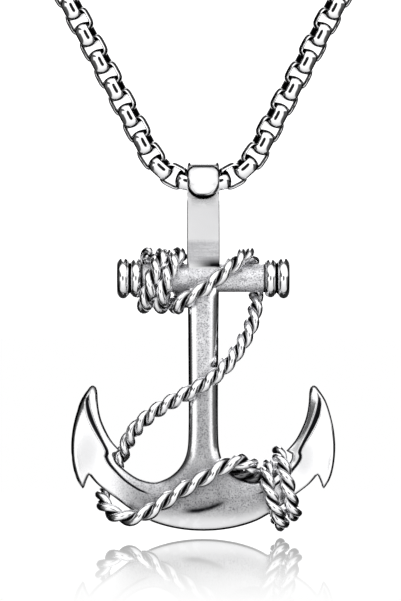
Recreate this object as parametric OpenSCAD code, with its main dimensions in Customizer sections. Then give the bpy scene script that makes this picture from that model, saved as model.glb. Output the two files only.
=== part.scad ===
// Anchor pendant on a box link chain, as the closed loop is worn.
// Millimetres, +Z up. The origin is where the loop rests on the nape,
// the wearer faces -Y, and the pendant hangs in front.

/* [Chain] */
// Outer size of a link, along and across the chain
link_size = 3; // [2.95:0.05:3.05]
// Width of a link's band
link_band = 1.36; // [1.2:0.02:1.36]
// Thickness of a link's wall
link_wall = 0.46; // [0.4:0.02:0.46]
// Distance from one link to the next
link_pitch = 1.77; // [1.76:0.01:1.78]
// Links on each side of the pendant's middle link
front_links = 20; // [14:1:20]
// Angle of each side of the V, from the vertical
v_angle = 28; // [27:1:29]

/* [Bail] */
// Radius of the bail's bore
bore_r = 1.78; // [1.76:0.01:1.8]
// Outer radius of the bail
bail_r = 2.12; // [2.1:0.01:2.15]
// Width of the bail
bail_w = 3.76; // [3.6:0.02:3.8]

/* [Stock] */
// Drop from the bore to the stock's axis
stock_drop = 11.1; // [11:0.05:11.1]
// Radius of the stock's bar
stock_r = 1.63; // [1.55:0.01:1.65]
// Half length of the stock
stock_half = 10; // [9.8:0.1:10.2]

/* [Rope] */
// Radius over the rope's strands
rope_r = 0.8; // [0.74:0.02:0.8]
// Radius at the grooves between strands
rope_groove_r = 0.36; // [0.34:0.01:0.4]
// Length of one turn of a strand
rope_lay = 4.2; // [3.8:0.2:4.6]

/* [Clasp] */
// Thickness of the clasp
clasp_t = 1.8; // [1.6:0.1:1.8]
// Radius of a jump ring, to the middle of its wire
ring_r = 2.4; // [2.4:0.05:2.5]
// Radius of a jump ring's wire
ring_wire = 0.45; // [0.4:0.05:0.45]

/* [Hidden] */
$fn = 48;

// Middle of the bail's bore, where the pendant swings about X
bore = [0, -126, -200];

// Extra depth of a cut that goes right through
through = 1;

// A link is a disc with four flats and a domed band, and a squarish hole
link_disc_r = 1.6;
link_dome_r = 1.66;
link_corner = 0.2;
link_hole = link_size - 2 * link_wall;

// The chain runs level through the bore, bends up and goes straight
level_half = 0.2;
bend_r = 7;
bend_angle = 90 - v_angle;
bend_end_s = level_half + bend_r * bend_angle * PI / 180;
bend_end = [level_half + bend_r * sin(bend_angle), bend_r * (1 - cos(bend_angle))];

// Rope and chain skins stay this far from what they meet
seat_gap = 0.12;

// Depth of the clasp's middle behind the nape, and its parts along X
clasp_y = ring_r + ring_wire + 0.05;
claw_x = -3.2;
claw_r = 2.9;
claw_hole_r = 1.85;
neck_x = 1.2;
neck_r = 2.1;
neck_hole_r = 0.95;
eye_x = 4.2;
eye_r = 1.45;
eye_hole_r = 0.8;
ring_x = eye_x + ring_r;

// Middle line of the chain from the right jump ring down to the front links
back_route = [
    [9.6, 2.9, 0], [20, 1, -1], [34, -6, -4], [46, -16, -10], [55, -28, -18],
    [62, -42, -29], [66, -56, -41], [67, -70, -54], [66, -84, -69], [62, -97, -84],
    [57, -107, -98], [51, -115, -112], [44, -121, -126], [36, -125, -141], [28, -126, -156]];
back_steps = 2;
back_sides = 8;

// Shank sections from the bail down into the crown, from the bore
SH_Z = 0;
SH_W = 1;
SH_D = 2;
SH_BEVEL = 3;
shank_rows = [
    // height, half width, half depth, bevel
    [-1.85, 1.87, 1.25, 0.15],
    [-9.0, 1.90, 1.25, 0.15],
    [-11.0, 1.87, 1.30, 0.30],
    [-13.0, 1.83, 1.40, 0.45],
    [-24.0, 1.73, 1.40, 0.50],
    [-29.6, 1.76, 1.40, 0.50],
    [-31.1, 1.86, 1.40, 0.50],
    [-32.3, 2.22, 1.40, 0.55],
    [-33.1, 2.75, 1.40, 0.60],
    [-33.8, 3.45, 1.40, 0.65],
    [-34.35, 4.20, 1.40, 0.70],
    [-34.8, 5.40, 1.38, 0.70],
    [-35.6, 5.20, 1.30, 0.70],
    [-36.6, 3.60, 1.20, 0.60]];

// Arm sections from the crown's middle to the fluke's tip, from the bore:
// inner edge, front ridge, front line of the outer bevel, outer edge
AR_INNER = 0;
AR_RIDGE = 1;
AR_BEVEL = 2;
AR_OUTER = 3;
AR_DEPTH = 4;
arm_rows = [
    // inner [x, z], ridge [x, z], bevel [x, z], outer [x, z], their half depths
    [[0, -35.2], [0, -36.4], [0, -37.9], [0, -40.4], [1.20, 1.55, 1.50, 0.55]],
    [[2.6, -35.1], [2.5, -36.4], [2.2, -37.8], [1.8, -40.26], [1.20, 1.55, 1.50, 0.55]],
    [[4.2, -34.95], [4.1, -36.35], [3.8, -37.9], [4.05, -39.86], [1.15, 1.50, 1.42, 0.52]],
    [[5.7, -34.85], [5.9, -36.2], [6.0, -37.6], [6.3, -39.15], [1.05, 1.45, 1.30, 0.50]],
    [[7.3, -34.45], [7.8, -35.45], [8.05, -36.6], [8.4, -37.9], [0.95, 1.30, 1.05, 0.45]],
    [[8.55, -33.7], [9.1, -34.6], [9.7, -35.5], [10.35, -36.45], [0.85, 1.20, 0.85, 0.40]],
    [[9.85, -32.7], [10.35, -33.3], [11.3, -34.2], [12.25, -35.1], [0.75, 1.10, 0.70, 0.35]],
    [[10.15, -32.05], [10.95, -32.55], [12.1, -33.35], [13.2, -34.05], [0.70, 1.05, 0.65, 0.30]],
    [[10.25, -31.45], [11.3, -31.75], [12.3, -33.0], [13.3, -34.15], [0.70, 1.05, 0.65, 0.28]],
    [[9.6, -31.1], [11.1, -31.3], [12.3, -32.7], [13.45, -34.35], [0.65, 1.02, 0.62, 0.26]],
    [[10.7, -29.8], [11.35, -30.55], [12.6, -32.4], [13.61, -34.58], [0.60, 0.98, 0.60, 0.24]],
    [[11.6, -28.05], [12.25, -29.05], [13.2, -31.6], [13.92, -35.46], [0.55, 0.92, 0.55, 0.20]],
    [[11.85, -27.4], [12.6, -28.3], [13.7, -31.0], [14.6, -34.3], [0.50, 0.88, 0.50, 0.20]],
    [[12.0, -26.8], [12.85, -27.8], [14.0, -30.0], [15.05, -33.07], [0.48, 0.82, 0.46, 0.20]],
    [[12.1, -26.2], [13.1, -27.2], [14.2, -28.8], [15.24, -31.2], [0.45, 0.75, 0.42, 0.20]],
    [[12.2, -25.5], [13.3, -26.5], [14.25, -27.9], [15.2, -29.3], [0.40, 0.65, 0.38, 0.20]],
    [[12.23, -25.0], [13.5, -25.7], [14.2, -26.5], [14.86, -27.4], [0.36, 0.52, 0.34, 0.20]],
    [[12.28, -24.3], [13.2, -24.75], [13.7, -25.0], [14.23, -25.3], [0.30, 0.40, 0.30, 0.18]],
    [[12.4, -23.8], [12.75, -23.72], [13.0, -23.67], [13.22, -23.64], [0.20, 0.26, 0.22, 0.15]]];

// Middle line of the rope, from the bore: two turns round the stock, across it,
// down to the left arm, over the crown and two turns round the right arm
rope_steps = 4;
rope_route = [
    [-6.4, -0.5, -8.4], [-6.4, 1.0, -8.55], [-6.4, 2.3, -9.7], [-6.45, 2.6, -11.3],
    [-6.6, 2.2, -13.0], [-6.8, 0.9, -14.2], [-6.75, -0.9, -14.2], [-6.45, -2.3, -13.1],
    [-6.0, -2.75, -11.3], [-5.4, -2.35, -9.7], [-4.85, -1.2, -8.6], [-4.6, 0.3, -8.35],
    [-4.6, 1.8, -9.1], [-4.6, 2.6, -10.7], [-4.65, 2.45, -12.5], [-4.8, 1.4, -13.9],
    [-4.95, -0.2, -14.4], [-4.9, -1.7, -13.7], [-4.5, -2.6, -12.2], [-3.95, -2.6, -10.6],
    [-3.4, -1.9, -9.2], [-2.95, -0.7, -8.45], [-2.82, 0.9, -8.5], [-2.82, 2.2, -9.5],
    [-2.85, 2.7, -11.1], [-2.9, 2.4, -12.8], [-3.05, 1.2, -14.1], [-3.1, -0.5, -14.5],
    [-2.8, -1.9, -14.2], [-1.9, -2.6, -13.5], [-0.8, -2.75, -12.9], [0.4, -2.75, -12.1],
    [1.9, -2.7, -10.9], [3.3, -2.4, -9.7], [4.4, -1.3, -8.6], [5.2, 0.4, -8.3],
    [5.7, 1.9, -9.2], [6.0, 2.65, -10.8], [6.1, 2.4, -12.4], [6.1, 1.3, -13.9],
    [5.85, 0.2, -15.5], [5.4, -0.5, -16.9], [4.7, -1.1, -18.3], [3.8, -1.6, -19.7],
    [2.8, -2.1, -21.0], [1.6, -2.4, -22.2], [0.3, -2.5, -23.2], [-1.1, -2.45, -24.0],
    [-2.6, -2.3, -24.8], [-4.2, -1.9, -25.7], [-5.8, -1.3, -26.7], [-7.3, -0.6, -28.0],
    [-8.4, 0.4, -29.4], [-9.0, 1.3, -30.7], [-9.6, 2.0, -32.1], [-10.3, 2.15, -33.6],
    [-11.0, 1.8, -35.0], [-11.7, 0.9, -36.2], [-11.6, -0.4, -37.2], [-10.8, -1.4, -38.1],
    [-9.6, -2.1, -38.7], [-8.1, -2.35, -38.8], [-6.5, -2.45, -38.2], [-5.0, -2.5, -37.3],
    [-3.2, -2.6, -36.1], [-1.2, -2.6, -34.9], [0.8, -2.5, -33.8], [2.6, -2.2, -32.7],
    [4.2, -1.6, -32.0], [5.4, -0.4, -32.3], [6.0, 1.1, -33.5], [6.5, 2.2, -35.0],
    [7.3, 2.4, -36.9], [8.3, 1.8, -38.6], [9.0, 0.4, -39.6], [9.1, -1.2, -39.3],
    [8.5, -2.2, -38.0], [7.8, -2.45, -36.3], [7.35, -2.1, -34.6], [7.35, -0.9, -33.3],
    [7.7, 0.7, -32.9], [8.2, 2.0, -33.9], [9.0, 2.3, -35.6], [9.9, 1.8, -37.3],
    [10.5, 0.5, -38.4], [10.6, -1.0, -38.2], [10.2, -2.0, -36.9], [9.8, -2.25, -35.2],
    [9.4, -2.0, -33.6], [9.0, -1.3, -32.3], [8.7, -0.1, -31.5], [8.8, 1.3, -31.3]];

function unit(v) = v / norm(v);

// Curve through the points, with a number of steps from each to the next
function curve_point(a, b, c, d, t) =
    0.5 * (2 * b + (c - a) * t + (2 * a - 5 * b + 4 * c - d) * t * t
        + (3 * b - a - 3 * c + d) * t * t * t);
function curve(points, steps) =
    let (last = len(points) - 1)
    [for (i = [0 : last - 1]) for (j = [0 : steps - 1])
        curve_point(points[max(i - 1, 0)], points[i], points[i + 1], points[min(i + 2, last)],
            j / steps),
    points[last]];

// Direction of the path at each of its points
function directions(path) =
    [for (i = [0 : len(path) - 1])
        unit(path[min(i + 1, len(path) - 1)] - path[max(i - 1, 0)])];

// Side vectors carried along the path without twist
start_side = [0.3, 1, 0.2];
function carry(side, along) = unit(side - (side * along) * along);
function sides(dirs) =
    [for (i = 0, side = carry(start_side, dirs[0]); i < len(dirs);
        i = i + 1, side = carry(side, dirs[min(i, len(dirs) - 1)])) side];

// Distance run along the path at each of its points
function runs(path) =
    [for (i = 0, run = 0; i < len(path);
        i = i + 1, run = i < len(path) ? run + norm(path[i] - path[i - 1]) : run) run];

// One ring of a swept skin: radii[j] at even angles, turned by twist
function swept_ring(middle, dir, side, radii, twist) =
    let (up = cross(dir, side))
    [for (j = [0 : len(radii) - 1]) let (a = twist + 360 * j / len(radii))
        middle + radii[j] * (cos(a) * side + sin(a) * up)];
function swept_rings(path, radii, lay) =
    let (dirs = directions(path), sidev = sides(dirs), run = runs(path))
    [for (i = [0 : len(path) - 1])
        swept_ring(path[i], dirs[i], sidev[i], radii, lay == 0 ? 0 : -360 * run[i] / lay)];

// Closed skin through rings of equal length, capped at both ends
module skin(rings) {
    n = len(rings[0]);
    last = len(rings) - 1;
    points = [for (ring = rings) for (p = ring) p];
    walls = [for (i = [0 : last - 1]) for (j = [0 : n - 1])
        let (a = i * n + j, b = i * n + (j + 1) % n)
        for (face = [[a, a + n, b + n], [a, b + n, b]]) face];
    first_cap = [for (j = [0 : n - 1]) j];
    last_cap = [for (j = [n - 1 : -1 : 0]) last * n + j];
    polyhedron(points, concat(walls, [first_cap, last_cap]));
}

// Place and slope of the chain's middle line at distance s from the bore
function front_point(s) =
    let (a = (abs(s) - level_half) / bend_r * 180 / PI, past = abs(s) - bend_end_s,
        right = abs(s) <= level_half ? [abs(s), 0]
            : past <= 0 ? [level_half + bend_r * sin(a), bend_r * (1 - cos(a))]
            : bend_end + past * [cos(bend_angle), sin(bend_angle)])
    [sign(s) * right[0], 0, right[1]];
function front_slope(s) =
    sign(s) * max(0, min(bend_angle, (abs(s) - level_half) / bend_r * 180 / PI));

// Octagon of the shank at one height
function shank_ring(row) =
    let (z = row[SH_Z], w = row[SH_W], d = row[SH_D], b = row[SH_BEVEL])
    [[-w, d - b, z], [b - w, d, z], [w - b, d, z], [w, d - b, z],
        [w, b - d, z], [w - b, -d, z], [b - w, -d, z], [-w, b - d, z]];

// Octagon of an arm at one section, front from inner to outer edge, then the back
function arm_ring(row, side) =
    concat([for (i = [AR_INNER : AR_OUTER]) [side * row[i][0], -row[AR_DEPTH][i], row[i][1]]],
        [for (i = [AR_OUTER : -1 : AR_INNER]) [side * row[i][0], row[AR_DEPTH][i], row[i][1]]]);

// Squarish outline with rounded corners
module rounded_square(size, r) {
    flat = size - 2 * r;
    square([size, flat], center = true);
    square([flat, size], center = true);
    for (x = [-1, 1], y = [-1, 1]) translate([x, y] * flat / 2) circle(r);
}

// One link along X, with its hole along Y
module link() {
    difference() {
        intersection() {
            rotate([90, 0, 0]) cylinder(r = link_disc_r, h = link_band, center = true);
            cube([link_size, link_band, link_size], center = true);
            sphere(link_dome_r);
        }
        rotate([90, 0, 0]) linear_extrude(link_band + through, center = true)
            rounded_square(link_hole, link_corner);
    }
}

// Links through the bore and up both sides of the V, every other one on edge
module chain_front() {
    color("silver") translate(bore) for (k = [-front_links : front_links])
        translate(front_point(k * link_pitch)) rotate([0, -front_slope(k * link_pitch), 0])
            rotate([k % 2 == 0 ? 0 : 90, 0, 0]) link();
}

// Plain rounds standing for the chain from the front links to the jump rings
module chain_back() {
    front_end = bore + front_point(front_links * link_pitch + link_size / 2 + seat_gap);
    path = curve(concat(back_route, [front_end]), back_steps);
    rings = swept_rings(path, [for (j = [1 : back_sides]) link_size / 2], 0);
    color("silver") {
        skin(rings);
        mirror([1, 0, 0]) skin(rings);
    }
}

// Bail with its bore along X and a tongue with round corners in front
module bail() {
    edge = 0.2;
    corner = 1.3;
    corner_x = bail_w / 2 - corner + 0.03;
    tongue_z = -1.75;
    front_y = -1.25;
    difference() {
        rotate([0, 90, 0]) rotate_extrude() polygon([
            [bore_r, -bail_w / 2], [bail_r - edge, -bail_w / 2], [bail_r, edge - bail_w / 2],
            [bail_r, bail_w / 2 - edge], [bail_r - edge, bail_w / 2], [bore_r, bail_w / 2]]);
        for (side = [-1, 1]) translate([side * corner_x, front_y, tongue_z + corner])
            rotate([90, 0, 0]) linear_extrude(bail_r) difference() {
                translate([side > 0 ? 0 : -2 * corner, -2 * corner])
                    square([2 * corner, 2 * corner]);
                circle(corner);
            }
    }
}

// Round stock with a pair of rings at each end
module stock() {
    end_profile = [
        // distance from the middle, radius
        [0, stock_r], [7.23, stock_r], [7.23, 2.1], [7.4, 2.32], [8.1, 2.32], [8.26, 2.1],
        [8.72, 2.1], [8.9, 2.44], [9.75, 2.44], [stock_half, 2.15]];
    right = [for (p = end_profile) [p[1], p[0]]];
    left = [for (i = [len(end_profile) - 1 : -1 : 1]) [end_profile[i][1], -end_profile[i][0]]];
    translate([0, 0, -stock_drop]) rotate([0, 90, 0]) rotate_extrude()
        polygon(concat([[0, -stock_half]], left, [for (i = [1 : len(right) - 1]) right[i]],
            [[0, stock_half]]));
}

// Anchor cast in one piece: bail, shank, stock, crown, arms and flukes
module anchor() {
    left_arm = [for (i = [len(arm_rows) - 1 : -1 : 1]) arm_ring(arm_rows[i], -1)];
    right_arm = [for (row = arm_rows) arm_ring(row, 1)];
    color("lightgray") translate(bore) {
        bail();
        skin([for (row = shank_rows) shank_ring(row)]);
        stock();
        skin(concat(left_arm, right_arm));
    }
}

// Two-strand rope: one skin whose two round lobes turn left-handed along the route
module rope() {
    radii = [for (a = [0 : 30 : 330]) max(rope_groove_r, rope_r * abs(cos(a)))];
    color("darkgray") translate(bore)
        skin(swept_rings(curve(rope_route, rope_steps), radii, rope_lay));
}

// Outline of the clasp: a claw, a neck and an eye
module clasp_outline() {
    circle(neck_r);
    translate([claw_x - neck_x, 0]) circle(claw_r);
    polygon([[claw_x - neck_x, claw_r], [claw_x - neck_x, -claw_r], [0, -neck_r], [0, neck_r]]);
    translate([0, -eye_hole_r]) square([eye_x - neck_x, 2 * eye_hole_r]);
    translate([eye_x - neck_x, 0]) circle(eye_r);
}
module clasp_holes() {
    circle(neck_hole_r);
    translate([claw_x - neck_x, 0]) circle(claw_hole_r);
    polygon([[claw_x - neck_x, claw_hole_r], [claw_x - neck_x, -claw_hole_r],
        [0, -neck_hole_r], [0, neck_hole_r]]);
    translate([eye_x - neck_x, 0]) circle(eye_hole_r);
}
module clasp() {
    color("silver") translate([neck_x, clasp_y, 0]) rotate([90, 0, 0])
        linear_extrude(clasp_t, center = true) difference() {
            clasp_outline();
            clasp_holes();
        }
}

// Jump ring lying level, through the clasp on one side and the chain on the other
module jump_ring(side) {
    color("silver") translate([side * ring_x, clasp_y, 0]) rotate_extrude()
        translate([ring_r, 0]) circle(ring_wire);
}
module ring_left() { jump_ring(-1); }
module ring_right() { jump_ring(1); }

anchor();
rope();
chain_front();
chain_back();
clasp();
ring_left();
ring_right();
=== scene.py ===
"""Looks of the anchor pendant necklace: cast anchor, laid rope, box links, clasp and rings."""
import math

import bpy
import numpy as np
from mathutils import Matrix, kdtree
from mathutils.geometry import delaunay_2d_cdt


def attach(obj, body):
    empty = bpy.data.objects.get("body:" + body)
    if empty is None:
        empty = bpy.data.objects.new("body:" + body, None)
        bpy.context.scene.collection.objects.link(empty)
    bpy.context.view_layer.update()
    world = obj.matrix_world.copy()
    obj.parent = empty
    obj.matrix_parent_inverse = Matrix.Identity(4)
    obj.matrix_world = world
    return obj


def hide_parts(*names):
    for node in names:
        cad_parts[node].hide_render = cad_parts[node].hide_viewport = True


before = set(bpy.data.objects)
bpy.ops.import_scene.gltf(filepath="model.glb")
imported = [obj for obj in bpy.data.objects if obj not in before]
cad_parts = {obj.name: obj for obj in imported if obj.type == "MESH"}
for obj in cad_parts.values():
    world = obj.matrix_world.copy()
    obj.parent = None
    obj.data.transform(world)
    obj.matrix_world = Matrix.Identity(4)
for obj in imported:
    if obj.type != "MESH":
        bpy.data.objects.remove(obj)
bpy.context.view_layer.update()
scene = bpy.context.scene

# Sizes below are in millimetres, as in the part's source, and meshes are scaled to metres
MM = 0.001
BORE = np.array([0.0, -126.0, -200.0])

# Photograph, in pixels: its frame, the bail's bore in it, and the floor's line
PHOTO_PX = (401, 601)
BORE_PX = (203.3, 182.5)
FLOOR_PX = 534.8
MM_PER_PX = 0.116

# Heights from the bore: the shank's top, its upper part's end, the stock, the lower part's start
SHANK_TOP = -1.85
UPPER_END = -9.6
STOCK_Z = -11.1
LOWER_START = (-12.0, -12.9)

# Outline of the right half: x, z, half thickness. Each stretch is a smooth curve
OUTLINE = [
    [(1.87, SHANK_TOP, 1.25), (1.89, -5.0, 1.25), (1.9, -9.0, 1.22), (1.87, -11.0, 1.12),
     (1.83, -13.0, 0.98), (1.78, -18.0, 0.95), (1.73, -24.0, 0.95), (1.74, -28.5, 0.95),
     (1.84, -30.7, 0.96), (2.18, -32.1, 1.0), (2.75, -33.1, 1.02), (3.5, -33.85, 1.02),
     (4.4, -34.4, 1.02), (5.7, -34.75, 1.0), (7.3, -34.42, 0.95), (8.55, -33.7, 0.88),
     (9.8, -32.65, 0.8), (10.2, -32.05, 0.76), (10.25, -31.5, 0.74)],
    [(10.25, -31.5, 0.74), (9.9, -31.3, 0.68), (9.6, -31.1, 0.62)],
    [(9.6, -31.1, 0.62), (10.7, -29.8, 0.52), (11.6, -28.05, 0.45), (12.0, -26.8, 0.40),
     (12.2, -25.5, 0.38), (12.28, -24.3, 0.37), (12.44, -23.75, 0.37)],
    [(12.44, -23.75, 0.42), (12.8, -23.5, 0.4), (13.2, -23.72, 0.4)],
    [(13.2, -23.72, 0.4), (14.23, -25.3, 0.42), (14.9, -27.4, 0.44), (15.25, -29.3, 0.45),
     (15.32, -31.2, 0.45), (15.1, -33.07, 0.40), (14.65, -34.5, 0.28), (14.0, -35.5, 0.18)],
    [(14.0, -35.5, 0.18), (13.8, -35.3, 0.2), (13.55, -34.6, 0.3), (13.25, -33.95, 0.4)],
    [(13.25, -33.95, 0.4), (12.25, -35.05, 0.5), (10.35, -36.5, 0.6), (8.4, -37.95, 0.66),
     (6.3, -39.2, 0.7), (4.05, -39.95, 0.72), (1.8, -40.33, 0.74), (0.0, -40.42, 0.75)]]

# Creases of the right half: x, z, half thickness
SHANK_EDGE = [(1.70, -2.2, 1.27), (1.72, -5.0, 1.27), (1.73, -9.3, 1.27)]
SHANK_BAND = [
    (1.12, -12.9, 1.31), (1.07, -18.0, 1.31), (1.04, -24.0, 1.31), (1.06, -28.5, 1.31),
    (1.18, -30.9, 1.31), (1.55, -32.6, 1.33), (2.2, -33.8, 1.34), (3.2, -34.7, 1.36)]
SHANK_FACE = [
    (0.62, -12.9, 1.46), (0.58, -18.0, 1.46), (0.56, -24.0, 1.46), (0.58, -29.0, 1.46),
    (0.62, -31.5, 1.47)]
RIDGE = [(4.6, -36.35, 1.5), (5.9, -36.2, 1.46), (7.0, -35.8, 1.4), (7.8, -35.4, 1.33),
         (9.1, -34.5, 1.24), (10.3, -33.3, 1.14), (10.95, -32.5, 1.08), (11.25, -31.8, 1.06),
         (11.15, -31.2, 1.06), (11.5, -30.4, 1.06), (12.2, -29.1, 1.02), (12.75, -28.0, 0.98),
         (13.15, -27.0, 0.92), (13.4, -26.0, 0.82), (13.45, -25.2, 0.68), (13.2, -24.5, 0.56),
         (13.0, -24.1, 0.48)]
KEEL = [(0.0, -37.95, 1.52), (2.2, -37.9, 1.51), (4.0, -37.85, 1.44), (6.0, -37.35, 1.32),
        (7.6, -36.6, 1.22)]

# Groove along the ridge: distance from the ridge's start, half width, depth. Then how far its
# cut reaches, as a share of the half width, and the least half width for its mesh rows
GROOVE_RUN, GROOVE_HALF, GROOVE_DEPTH = np.array([
    (0.0, 0.02, 0.0), (1.5, 0.10, 0.05), (3.0, 0.16, 0.13), (6.0, 0.17, 0.17), (8.7, 0.22, 0.20),
    (10.0, 0.20, 0.18), (12.0, 0.30, 0.22), (13.6, 0.36, 0.24), (15.0, 0.30, 0.18),
    (16.6, 0.06, 0.0)]).T
GROOVE_REACH = 1.25
GROOVE_LEAST = 0.14

# Rounding of the front rim: in most places, beside the flat upper shank, and outside and below
RIM_R = 0.38
RIM_R_TOP = 0.12
RIM_R_WIDE = 0.56

# Mesh of the cast: steps, the grid's ends, gaps kept, rows inside the rim and beside the groove
# as shares of their reach, and the share of it that they keep clear
OUTLINE_STEP = 0.1
CREASE_STEP = 0.13
CELL = 0.16
GRID_HALF = 15.5
GRID_LOW = -40.6
GRID_GAP = 0.05
ROW_GAP = 0.03
RIM_SHARES = (0.05, 0.15, 0.3, 0.5, 0.75, 1.0)
GROOVE_SHARES = [k / 5 for k in range(-6, 7) if k]
RIM_CLEAR = 0.93
GROOVE_CLEAR = 0.9
STRETCH_ROUNDS = 600
SOFTEN_ROUNDS = 8
SOFTEN_SHARE = 0.6
LEAST_HALF = 0.05

# Oval spots on the cast: middle, half size, share of it where the spot is full, strength
LEFT_FLUKE_SATIN_SHADE = (-13.2, -31.0, 2.4, 5.5, 0.1, 0.62)
RIGHT_FLUKE_SATIN_SHADE = (11.6, -32.0, 2.4, 4.0, 0.1, 0.8)
LEFT_TIP_SHADE = (-13.4, -25.6, 0.6, 1.6, 0.0, 0.6)

# Middle line of the painted shade streak along the keel under the crown, x and z
CREASE_SHADE_LINE = ([-2.4, -0.6, 0.8, 2.6], [-38.1, -38.05, -37.7, -37.0])

# Stock: the bar's radius and end, and the rings' start, end, radius beside the bar and bulge
STOCK_R = 1.63
STOCK_BAR_END = 7.15
STOCK_RINGS = [(7.15, 8.45, 1.72, 0.6), (8.6, 10.0, 1.8, 0.65)]
STOCK_SIDES = 96

# Bail: a rolled strap with its tongue in front of the shank. Its top and underside go by angle
# from straight up, in degrees, and radius, its front and foot by y and z
BAIL_TOP = [(-90, 2.12), (-40, 2.2), (0, 2.42), (25, 2.34), (40, 2.2), (52, 2.13), (65, 2.07)]
BAIL_FRONT = [(-2.12, 0.35), (-2.26, -0.45), (-2.36, -1.0), (-2.42, -1.36), (-2.4, -1.56),
              (-2.22, -1.74), (-1.9, -1.83), (-1.5, -1.86), (-1.28, -1.88)]
BAIL_FOOT = [(-1.284, -1.94), (-1.272, -2.2), (-1.245, -2.55), (-1.0, -2.62), (-0.5, -2.4)]
BAIL_UNDER = [(angle, 2.12) for angle in np.linspace(180, 260, 10)]
BAIL_STEP = 0.045
BAIL_BORE_R = 1.79
BAIL_HALF = 1.86
BAIL_EDGE = 0.5
BAIL_ROUND = 0.38
CUSHION_TOP = 1.74
CUSHION_R = 0.9
CUSHION_STEP = 0.13
CUSHION_EDGE = 0.2
TONGUE_R = 1.74
TONGUE_Z = -1.86
STRAP_Y = 1.284

# Middle line of the rope, from the bore, as in the part's source
ROPE_ROUTE = [
    [-6.4, -0.5, -8.4], [-6.4, 1.0, -8.55], [-6.4, 2.3, -9.7], [-6.45, 2.6, -11.3],
    [-6.6, 2.2, -13.0], [-6.8, 0.9, -14.2], [-6.75, -0.9, -14.2], [-6.45, -2.3, -13.1],
    [-6.0, -2.75, -11.3], [-5.4, -2.35, -9.7], [-4.85, -1.2, -8.6], [-4.6, 0.3, -8.35],
    [-4.6, 1.8, -9.1], [-4.6, 2.6, -10.7], [-4.65, 2.45, -12.5], [-4.8, 1.4, -13.9],
    [-4.95, -0.2, -14.4], [-4.9, -1.7, -13.7], [-4.5, -2.6, -12.2], [-3.95, -2.6, -10.6],
    [-3.4, -1.9, -9.2], [-2.95, -0.7, -8.45], [-2.82, 0.9, -8.5], [-2.82, 2.2, -9.5],
    [-2.85, 2.7, -11.1], [-2.9, 2.4, -12.8], [-3.05, 1.2, -14.1], [-3.1, -0.5, -14.5],
    [-2.8, -1.9, -14.2], [-1.9, -2.6, -13.5], [-0.8, -2.75, -12.9], [0.4, -2.75, -12.1],
    [1.9, -2.7, -10.9], [3.3, -2.4, -9.7], [4.4, -1.3, -8.6], [5.2, 0.4, -8.3],
    [5.7, 1.9, -9.2], [6.0, 2.65, -10.8], [6.1, 2.4, -12.4], [6.1, 1.3, -13.9],
    [5.85, 0.2, -15.5], [5.4, -0.5, -16.9], [4.7, -1.1, -18.3], [3.8, -1.6, -19.7],
    [2.8, -2.1, -21.0], [1.6, -2.4, -22.2], [0.3, -2.5, -23.2], [-1.1, -2.45, -24.0],
    [-2.6, -2.3, -24.8], [-4.2, -1.9, -25.7], [-5.8, -1.3, -26.7], [-7.3, -0.6, -28.0],
    [-8.4, 0.4, -29.4], [-9.0, 1.3, -30.7], [-9.6, 2.0, -32.1], [-10.3, 2.15, -33.6],
    [-11.0, 1.8, -35.0], [-11.7, 0.9, -36.2], [-11.6, -0.4, -37.2], [-10.8, -1.4, -38.1],
    [-9.6, -2.1, -38.7], [-8.1, -2.35, -38.8], [-6.5, -2.45, -38.2], [-5.0, -2.5, -37.3],
    [-3.2, -2.6, -36.1], [-1.2, -2.6, -34.9], [0.8, -2.5, -33.8], [2.6, -2.2, -32.7],
    [4.2, -1.7, -32.3], [5.4, -0.6, -32.6], [6.1, 0.9, -33.6], [6.5, 2.1, -35.0],
    [7.3, 2.4, -36.9], [8.3, 1.8, -38.6], [9.0, 0.4, -39.6], [9.1, -1.2, -39.3],
    [8.5, -2.2, -38.0], [7.8, -2.45, -36.3], [7.35, -2.1, -34.6], [7.35, -0.9, -33.3],
    [7.7, 0.7, -32.9], [8.2, 2.0, -33.9], [9.0, 2.3, -35.6], [9.9, 1.8, -37.3],
    [10.5, 0.5, -38.4], [10.6, -1.0, -38.2], [10.2, -2.0, -36.9], [9.8, -2.25, -35.2],
    [9.4, -2.0, -33.6], [9.0, -1.3, -32.3], [8.7, -0.1, -31.5], [8.8, 1.3, -31.3]]

# Rope along its route: route point, radius over the strands, length of one turn
ROPE_ROWS = [
    (0, 0.96, 4.2), (27, 0.96, 4.2), (31, 0.96, 4.8), (38, 0.92, 4.2), (42, 0.94, 3.8),
    (52, 0.96, 3.8), (56, 0.92, 3.8), (60, 0.98, 4.6), (66, 1.02, 5.2), (69, 0.98, 4.6),
    (73, 0.92, 4.0), (91, 0.92, 4.0)]
ROPE_STEP = 0.17
ROPE_CURVE_STEPS = 24
ROPE_TAPER = 0.5
ROPE_DARK = 0.85

# Turn tucked under the rope's hump at the crown
TUCK_ROUTE = [[2.9, -0.4, -33.1], [4.2, -0.2, -33.8], [5.6, 0.0, -34.15], [6.9, 0.1, -34.0]]
TUCK_ROWS = [(0, 0.85, 3.6), (3, 0.85, 3.6)]

# Strands, laid to the left: radius and offset as shares of the rope's radius
ROPE_HAND = -1
STRANDS = 2
STRAND_R = 0.5
STRAND_OFFSET = 0.5
STRAND_FLAT = 1.06
STRAND_SIDES = 18

# Links: half size and squareness of outline and hole, the band's dome, edge round and lip, and
# the painted shade: black in the hole and at the upper ends, lighter at the lower ends
LINK_OUTLINE = (1.5, 3.4)
LINK_HOLE = (1.04, 5)
LINK_DOME_R = 1.4
LINK_DOME_TILT = math.radians(32)
LINK_EDGE_R = 0.24
LINK_LIP = 0.08
LINK_SHADE = 0.95
LINK_SHADE_LOWER = 0.35

# Front links: pitch, roll about the chain of every other one, number up each side, and their
# path, level in the bail, then a bend, then straight
LINK_PITCH = 1.77
LINK_ROLL = math.radians(8)
LINK_ROLL_TURNED = math.radians(17)
FRONT_LINKS = 20
LEVEL_HALF = 0.2
BEND_R = 7.0
BEND_ANGLE = math.radians(62)

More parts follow.
